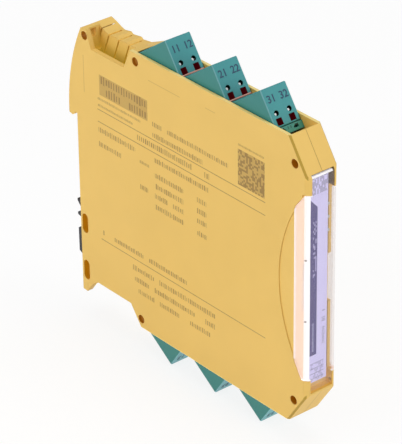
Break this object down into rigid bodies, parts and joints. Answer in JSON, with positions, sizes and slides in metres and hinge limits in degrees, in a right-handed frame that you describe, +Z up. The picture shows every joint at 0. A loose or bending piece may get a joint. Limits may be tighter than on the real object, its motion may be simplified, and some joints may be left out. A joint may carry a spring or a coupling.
{
  "type": "safety relay",
  "caption": "Slim yellow DIN-rail safety relay with green pull-off plugs above and below and a clear hinged front cover.",
  "frame": {"origin": "centre of the 35 mm rail on the plane of the rail seat, midway across the housing", "axes": "+X across the width to the right seen from the front, +Y towards the rail, +Z up"},
  "size_m": [0.0126, 0.1146, 0.1163],
  "materials": {
    "housing_yellow": "fine satin moulding",
    "plug_green": "satin moulding",
    "clamp_steel": "bright spring steel",
    "header_green": "satin moulding",
    "pin_tin": "tinned",
    "cover_clear": "clear polycarbonate",
    "foot_dark": "satin moulding",
    "spring_steel": "drawn wire",
    "board_green": "solder mask",
    "relay_case": "satin moulding",
    "winding_copper": "taped winding on a ferrite core",
    "capacitor_can": "sleeved can",
    "chip_black": "moulded",
    "carrier_white": "satin moulding",
    "label_print": "printed strip",
    "guide_clear": "clear rods"
  },
  "bodies": {
    "housing": {"left_shell": "housing_yellow", "right_shell": "housing_yellow", "header_top_1": "header_green", "pin_left_top_1": "pin_tin", "pin_right_top_1": "pin_tin", "header_top_2": "header_green", "pin_left_top_2": "pin_tin", "pin_right_top_2": "pin_tin", "header_top_3": "header_green", "pin_left_top_3": "pin_tin", "pin_right_top_3": "pin_tin", "header_bottom_1": "header_green", "pin_left_bottom_1": "pin_tin", "pin_right_bottom_1": "pin_tin", "header_bottom_2": "header_green", "pin_left_bottom_2": "pin_tin", "pin_right_bottom_2": "pin_tin", "header_bottom_3": "header_green", "pin_left_bottom_3": "pin_tin", "pin_right_bottom_3": "pin_tin", "foot_spring": "spring_steel", "main_board": "board_green", "relay_upper": "relay_case", "relay_lower": "relay_case", "transformer": "winding_copper", "capacitor": "capacitor_can", "controller_chip_1": "chip_black", "controller_chip_2": "chip_black", "front_carrier": "carrier_white", "label_strip": "label_print", "light_guide_1": "guide_clear", "light_guide_2": "guide_clear", "light_guide_3": "guide_clear"},
    "terminal_top_1": {"plug_top_1": "plug_green", "clamp_left_top_1": "clamp_steel", "clamp_right_top_1": "clamp_steel"},
    "terminal_top_2": {"plug_top_2": "plug_green", "clamp_left_top_2": "clamp_steel", "clamp_right_top_2": "clamp_steel"},
    "terminal_top_3": {"plug_top_3": "plug_green", "clamp_left_top_3": "clamp_steel", "clamp_right_top_3": "clamp_steel"},
    "terminal_bottom_1": {"plug_bottom_1": "plug_green", "clamp_left_bottom_1": "clamp_steel", "clamp_right_bottom_1": "clamp_steel"},
    "terminal_bottom_2": {"plug_bottom_2": "plug_green", "clamp_left_bottom_2": "clamp_steel", "clamp_right_bottom_2": "clamp_steel"},
    "terminal_bottom_3": {"plug_bottom_3": "plug_green", "clamp_left_bottom_3": "clamp_steel", "clamp_right_bottom_3": "clamp_steel"},
    "cover": {"clear_cover": "cover_clear"},
    "foot": {"rail_foot": "foot_dark"}
  },
  "joints": [
    {"name": "pull_top_1", "type": "slide", "parent": "housing", "child": "terminal_top_1", "axis": [0, -0.8211, 0.5707], "range_m": [0, 0.017]},
    {"name": "pull_top_2", "type": "slide", "parent": "housing", "child": "terminal_top_2", "axis": [0, -0.8211, 0.5707], "range_m": [0, 0.017]},
    {"name": "pull_top_3", "type": "slide", "parent": "housing", "child": "terminal_top_3", "axis": [0, -0.8211, 0.5707], "range_m": [0, 0.017]},
    {"name": "pull_bottom_1", "type": "slide", "parent": "housing", "child": "terminal_bottom_1", "axis": [0, -0.8211, -0.5707], "range_m": [0, 0.017]},
    {"name": "pull_bottom_2", "type": "slide", "parent": "housing", "child": "terminal_bottom_2", "axis": [0, -0.8211, -0.5707], "range_m": [0, 0.017]},
    {"name": "pull_bottom_3", "type": "slide", "parent": "housing", "child": "terminal_bottom_3", "axis": [0, -0.8211, -0.5707], "range_m": [0, 0.017]},
    {"name": "cover_hinge", "type": "hinge", "parent": "housing", "child": "cover", "pos_m": [0, -0.10935, -0.0348], "axis": [1, 0, 0], "range_deg": [0, 95]},
    {"name": "foot_slide", "type": "slide", "parent": "housing", "child": "foot", "axis": [0, 0, -1], "range_m": [0, 0.0026], "stiffness_N_per_m": 600, "springref_m": -0.001, "deforming": ["foot_spring"]}
  ]
}
